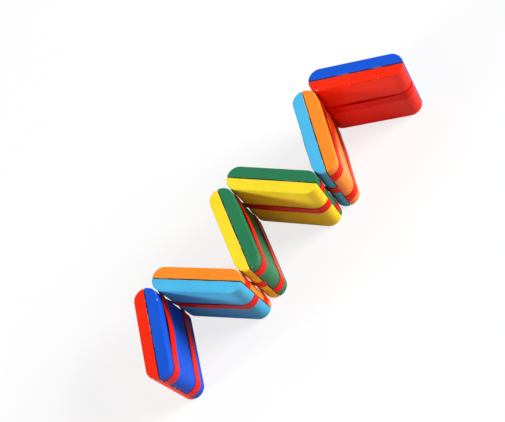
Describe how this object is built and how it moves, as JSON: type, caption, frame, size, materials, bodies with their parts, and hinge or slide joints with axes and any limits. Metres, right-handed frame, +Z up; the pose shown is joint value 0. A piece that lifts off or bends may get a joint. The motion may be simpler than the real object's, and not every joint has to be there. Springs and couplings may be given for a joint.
{
  "type": "jacob's ladder toy",
  "caption": "Folding ladder of flat two-colour wooden blocks joined end to end by crossed ribbon hinges, standing in a zigzag; the blocks tumble over one another when it is held up.",
  "frame": {"origin": "under the middle of the zigzag, on the surface that the long edges of the blocks stand on", "axes": "+Z up, along the hinge axes; +X along the zigzag towards block 1; +Y to the left of +X"},
  "size_m": [0.1964, 0.0456, 0.042],
  "materials": {
    "blue_paint": "satin paint",
    "red_paint": "satin paint",
    "sky_paint": "satin paint",
    "orange_paint": "satin paint",
    "green_paint": "satin paint",
    "yellow_paint": "satin paint",
    "red_ribbon": "woven ribbon",
    "wood_glue": "dried glue"
  },
  "bodies": {
    "block_1": {"block_1_blue_half": "blue_paint", "block_1_red_half": "red_paint", "block_1_glue_line": "wood_glue", "hinge_1_middle_ribbon": "red_ribbon", "hinge_1_outer_ribbon_ends": "red_ribbon"},
    "block_2": {"block_2_sky_half": "sky_paint", "block_2_orange_half": "orange_paint", "block_2_glue_line": "wood_glue", "hinge_1_lower_ribbon": "red_ribbon", "hinge_1_upper_ribbon": "red_ribbon", "hinge_1_middle_ribbon_end": "red_ribbon", "hinge_2_lower_ribbon": "red_ribbon", "hinge_2_upper_ribbon": "red_ribbon", "hinge_2_middle_ribbon_end": "red_ribbon"},
    "block_3": {"block_3_green_half": "green_paint", "block_3_yellow_half": "yellow_paint", "block_3_glue_line": "wood_glue", "hinge_2_middle_ribbon": "red_ribbon", "hinge_2_outer_ribbon_ends": "red_ribbon", "hinge_3_middle_ribbon": "red_ribbon", "hinge_3_outer_ribbon_ends": "red_ribbon"},
    "block_4": {"block_4_yellow_half": "yellow_paint", "block_4_green_half": "green_paint", "block_4_glue_line": "wood_glue", "hinge_3_lower_ribbon": "red_ribbon", "hinge_3_upper_ribbon": "red_ribbon", "hinge_3_middle_ribbon_end": "red_ribbon", "hinge_4_lower_ribbon": "red_ribbon", "hinge_4_upper_ribbon": "red_ribbon", "hinge_4_middle_ribbon_end": "red_ribbon"},
    "block_5": {"block_5_orange_half": "orange_paint", "block_5_sky_half": "sky_paint", "block_5_glue_line": "wood_glue", "hinge_4_middle_ribbon": "red_ribbon", "hinge_4_outer_ribbon_ends": "red_ribbon", "hinge_5_middle_ribbon": "red_ribbon", "hinge_5_outer_ribbon_ends": "red_ribbon"},
    "block_6": {"block_6_red_half": "red_paint", "block_6_blue_half": "blue_paint", "block_6_glue_line": "wood_glue", "hinge_5_lower_ribbon": "red_ribbon", "hinge_5_upper_ribbon": "red_ribbon", "hinge_5_middle_ribbon_end": "red_ribbon"},
    "hinge_1_crossing": {"hinge_1_middle_ribbon_crossing": "red_ribbon", "hinge_1_outer_ribbon_crossings": "red_ribbon"},
    "hinge_2_crossing": {"hinge_2_middle_ribbon_crossing": "red_ribbon", "hinge_2_outer_ribbon_crossings": "red_ribbon"},
    "hinge_3_crossing": {"hinge_3_middle_ribbon_crossing": "red_ribbon", "hinge_3_outer_ribbon_crossings": "red_ribbon"},
    "hinge_4_crossing": {"hinge_4_middle_ribbon_crossing": "red_ribbon", "hinge_4_outer_ribbon_crossings": "red_ribbon"},
    "hinge_5_crossing": {"hinge_5_middle_ribbon_crossing": "red_ribbon", "hinge_5_outer_ribbon_crossings": "red_ribbon"}
  },
  "joints": [
    {"name": "hinge_1_fold", "type": "hinge", "parent": "block_1", "child": "hinge_1_crossing", "pos_m": [0.06816, 0.01374, 0.021], "axis": [0, 0, 1], "range_deg": [-51.75, 38.25], "deforming": ["hinge_1_middle_ribbon_crossing", "hinge_1_outer_ribbon_crossings"]},
    {"name": "hinge_1_roll", "type": "hinge", "parent": "hinge_1_crossing", "child": "block_2", "pos_m": [0.05498, 0.01295, 0.021], "axis": [0, 0, 1], "range_deg": [-51.75, 38.25], "deforming": ["hinge_1_middle_ribbon_crossing", "hinge_1_outer_ribbon_crossings"]},
    {"name": "hinge_2_fold", "type": "hinge", "parent": "block_2", "child": "hinge_2_crossing", "pos_m": [0.0344, -0.01609, 0.021], "axis": [0, 0, -1], "range_deg": [-58.75, 31.25], "deforming": ["hinge_2_middle_ribbon_crossing", "hinge_2_outer_ribbon_crossings"]},
    {"name": "hinge_2_roll", "type": "hinge", "parent": "hinge_2_crossing", "child": "block_3", "pos_m": [0.02122, -0.01527, 0.021], "axis": [0, 0, -1], "range_deg": [-58.75, 31.25], "deforming": ["hinge_2_middle_ribbon_crossing", "hinge_2_outer_ribbon_crossings"]},
    {"name": "hinge_3_fold", "type": "hinge", "parent": "block_3", "child": "hinge_3_crossing", "pos_m": [0.00443, 0.01613, 0.021], "axis": [0, 0, 1], "range_deg": [-62.5, 27.5], "deforming": ["hinge_3_middle_ribbon_crossing", "hinge_3_outer_ribbon_crossings"]},
    {"name": "hinge_3_roll", "type": "hinge", "parent": "hinge_3_crossing", "child": "block_4", "pos_m": [-0.00877, 0.01609, 0.021], "axis": [0, 0, 1], "range_deg": [-62.5, 27.5], "deforming": ["hinge_3_middle_ribbon_crossing", "hinge_3_outer_ribbon_crossings"]},
    {"name": "hinge_4_fold", "type": "hinge", "parent": "block_4", "child": "hinge_4_crossing", "pos_m": [-0.02539, -0.0154, 0.021], "axis": [0, 0, -1], "range_deg": [-60.5, 29.5], "deforming": ["hinge_4_middle_ribbon_crossing", "hinge_4_outer_ribbon_crossings"]},
    {"name": "hinge_4_roll", "type": "hinge", "parent": "hinge_4_crossing", "child": "block_5", "pos_m": [-0.03858, -0.01589, 0.021], "axis": [0, 0, -1], "range_deg": [-60.5, 29.5], "deforming": ["hinge_4_middle_ribbon_crossing", "hinge_4_outer_ribbon_crossings"]},
    {"name": "hinge_5_fold", "type": "hinge", "parent": "block_5", "child": "hinge_5_crossing", "pos_m": [-0.05752, 0.01425, 0.021], "axis": [0, 0, 1], "range_deg": [-56, 34], "deforming": ["hinge_5_middle_ribbon_crossing", "hinge_5_outer_ribbon_crossings"]},
    {"name": "hinge_5_roll", "type": "hinge", "parent": "hinge_5_crossing", "child": "block_6", "pos_m": [-0.07071, 0.01479, 0.021], "axis": [0, 0, 1], "range_deg": [-56, 34], "deforming": ["hinge_5_middle_ribbon_crossing", "hinge_5_outer_ribbon_crossings"]}
  ],
  "couplings": [
    {"joint": "hinge_1_roll", "follows": "hinge_1_fold", "ratio": 1},
    {"joint": "hinge_2_roll", "follows": "hinge_2_fold", "ratio": 1},
    {"joint": "hinge_3_roll", "follows": "hinge_3_fold", "ratio": 1},
    {"joint": "hinge_4_roll", "follows": "hinge_4_fold", "ratio": 1},
    {"joint": "hinge_5_roll", "follows": "hinge_5_fold", "ratio": 1}
  ]
}
